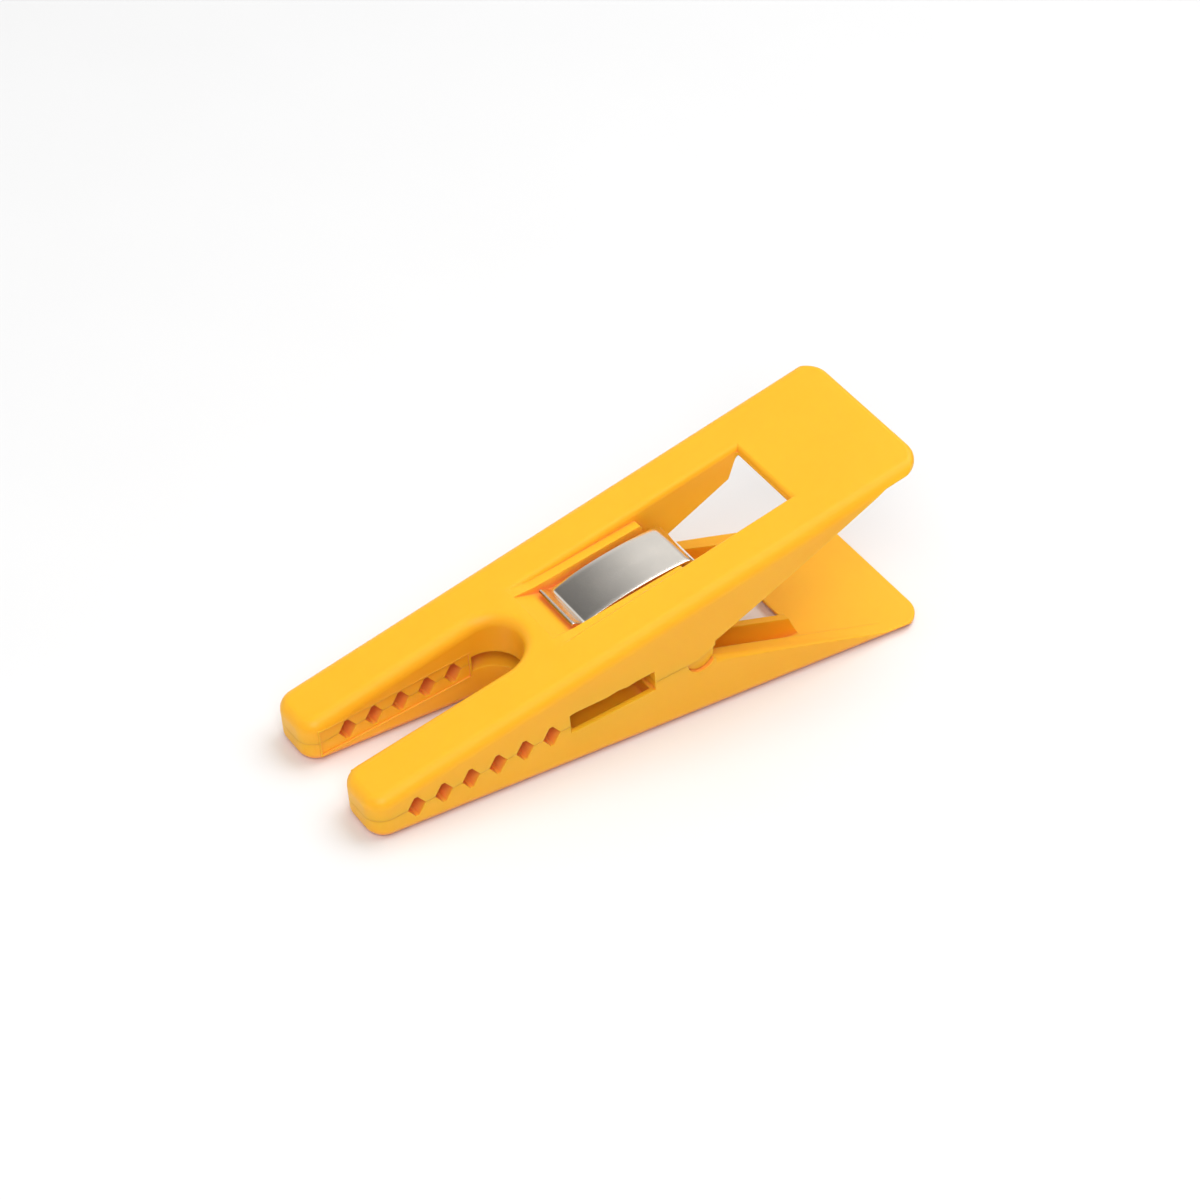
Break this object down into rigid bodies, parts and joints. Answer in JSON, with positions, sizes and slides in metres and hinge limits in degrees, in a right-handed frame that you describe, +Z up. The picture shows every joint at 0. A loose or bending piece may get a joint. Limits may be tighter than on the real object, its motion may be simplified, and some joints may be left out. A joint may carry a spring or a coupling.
{
  "type": "clothespin",
  "caption": "Forked plastic clothespin with toothed jaws, a line hole, windowed levers hinged on a half-round boss and a flat steel C spring.",
  "frame": {"origin": "centre of the bounding box's bottom, on the surface the pin lies on", "axes": "+X from the jaw tips to the handles, +Y across the pin, +Z up; the lower lever's flat outer face lies on Z = 0"},
  "size_m": [0.1016, 0.03, 0.0349],
  "materials": {
    "lever_plastic": "satin injection-moulded yellow plastic",
    "spring_steel": "satin rolled stainless strip with sheared ends"
  },
  "bodies": {
    "lower": {"lower_lever": "lever_plastic", "spring": "spring_steel"},
    "upper": {"upper_lever": "lever_plastic"}
  },
  "joints": [
    {"name": "jaw_hinge", "type": "hinge", "parent": "lower", "child": "upper", "pos_m": [0.00681, 0, 0.01175], "axis": [0, 1, 0], "range_deg": [0, 30], "stiffness_Nm_per_rad": 0.5, "springref_deg": -22.92, "deforming": ["spring"]}
  ]
}
